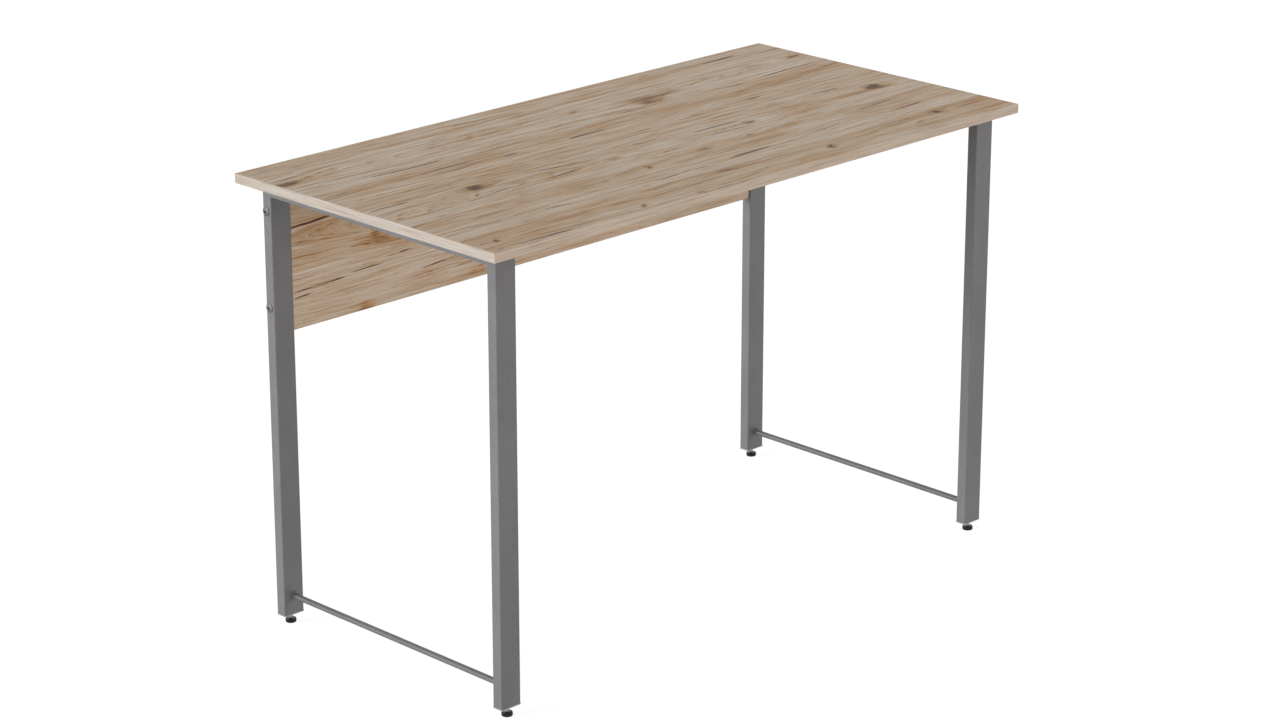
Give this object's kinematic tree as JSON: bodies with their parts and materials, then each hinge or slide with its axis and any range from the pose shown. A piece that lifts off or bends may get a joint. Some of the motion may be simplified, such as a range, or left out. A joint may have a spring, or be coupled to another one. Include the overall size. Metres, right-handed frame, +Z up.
{
  "type": "desk",
  "caption": "Straight rectangular desk: laminated board on two welded tube side frames, modesty panel between the rear legs and screw-adjusted levelling feet.",
  "frame": {"origin": "on the floor, under the centre of the desktop", "axes": "+X along the desk to the user's right, +Y from the user to the modesty panel, +Z up"},
  "size_m": [1.2, 0.6, 0.766],
  "materials": {
    "desktop_laminate": "pale oak melamine laminate on particleboard, matt, printed grain with cracks and knots along the length",
    "panel_laminate": "the same oak melamine laminate, a warmer and browner sheet, matt",
    "edge_banding": "pale oak plastic edge banding, satin",
    "frame_paint": "grey fine-textured powder coat",
    "cap_plastic": "light grey moulded plastic",
    "zinc_plate": "bright zinc-plated steel",
    "foot_plastic": "black glossy moulded plastic"
  },
  "bodies": {
    "desk_frame": {"desktop_board": "desktop_laminate", "desktop_front_edge_band": "edge_banding", "desktop_rear_edge_band": "edge_banding", "desktop_left_edge_band": "edge_banding", "desktop_right_edge_band": "edge_banding", "modesty_panel": "panel_laminate", "modesty_panel_top_edge_band": "edge_banding", "modesty_panel_bottom_edge_band": "edge_banding", "modesty_panel_left_edge_band": "edge_banding", "modesty_panel_right_edge_band": "edge_banding", "left_front_leg": "frame_paint", "left_rear_leg": "frame_paint", "right_front_leg": "frame_paint", "right_rear_leg": "frame_paint", "left_top_rail": "frame_paint", "right_top_rail": "frame_paint", "left_tie_bar": "frame_paint", "right_tie_bar": "frame_paint", "left_front_leg_cap": "cap_plastic", "left_rear_leg_cap": "cap_plastic", "right_front_leg_cap": "cap_plastic", "right_rear_leg_cap": "cap_plastic", "leg_cap_nuts": "zinc_plate", "left_panel_bolts": "zinc_plate", "right_panel_bolts": "zinc_plate", "left_barrel_nuts": "zinc_plate", "right_barrel_nuts": "zinc_plate", "left_rail_screws": "zinc_plate", "right_rail_screws": "zinc_plate"},
    "left_front_foot": {"left_front_foot_base": "foot_plastic"},
    "left_front_stem": {"left_front_foot_stem": "zinc_plate"},
    "left_rear_foot": {"left_rear_foot_base": "foot_plastic"},
    "left_rear_stem": {"left_rear_foot_stem": "zinc_plate"},
    "right_front_foot": {"right_front_foot_base": "foot_plastic"},
    "right_front_stem": {"right_front_foot_stem": "zinc_plate"},
    "right_rear_foot": {"right_rear_foot_base": "foot_plastic"},
    "right_rear_stem": {"right_rear_foot_stem": "zinc_plate"}
  },
  "joints": [
    {"name": "left_front_foot_height", "type": "slide", "parent": "desk_frame", "child": "left_front_foot", "axis": [0, 0, 1], "range_m": [-0.005, 0.0087]},
    {"name": "left_front_stem_turn", "type": "hinge", "parent": "left_front_foot", "child": "left_front_stem", "pos_m": [-0.55, -0.26, 0], "axis": [0, 0, 1], "range_deg": [-1802, 3134]},
    {"name": "left_rear_foot_height", "type": "slide", "parent": "desk_frame", "child": "left_rear_foot", "axis": [0, 0, 1], "range_m": [-0.005, 0.0087]},
    {"name": "left_rear_stem_turn", "type": "hinge", "parent": "left_rear_foot", "child": "left_rear_stem", "pos_m": [-0.55, 0.26, 0], "axis": [0, 0, 1], "range_deg": [-1802, 3134]},
    {"name": "right_front_foot_height", "type": "slide", "parent": "desk_frame", "child": "right_front_foot", "axis": [0, 0, 1], "range_m": [-0.005, 0.0087]},
    {"name": "right_front_stem_turn", "type": "hinge", "parent": "right_front_foot", "child": "right_front_stem", "pos_m": [0.55, -0.26, 0], "axis": [0, 0, 1], "range_deg": [-1802, 3134]},
    {"name": "right_rear_foot_height", "type": "slide", "parent": "desk_frame", "child": "right_rear_foot", "axis": [0, 0, 1], "range_m": [-0.005, 0.0087]},
    {"name": "right_rear_stem_turn", "type": "hinge", "parent": "right_rear_foot", "child": "right_rear_stem", "pos_m": [0.55, 0.26, 0], "axis": [0, 0, 1], "range_deg": [-1802, 3134]}
  ],
  "couplings": [
    {"joint": "left_front_stem_turn", "follows": "left_front_foot_height", "rad_per_m": 6283.2},
    {"joint": "left_rear_stem_turn", "follows": "left_rear_foot_height", "rad_per_m": 6283.2},
    {"joint": "right_front_stem_turn", "follows": "right_front_foot_height", "rad_per_m": 6283.2},
    {"joint": "right_rear_stem_turn", "follows": "right_rear_foot_height", "rad_per_m": 6283.2}
  ]
}
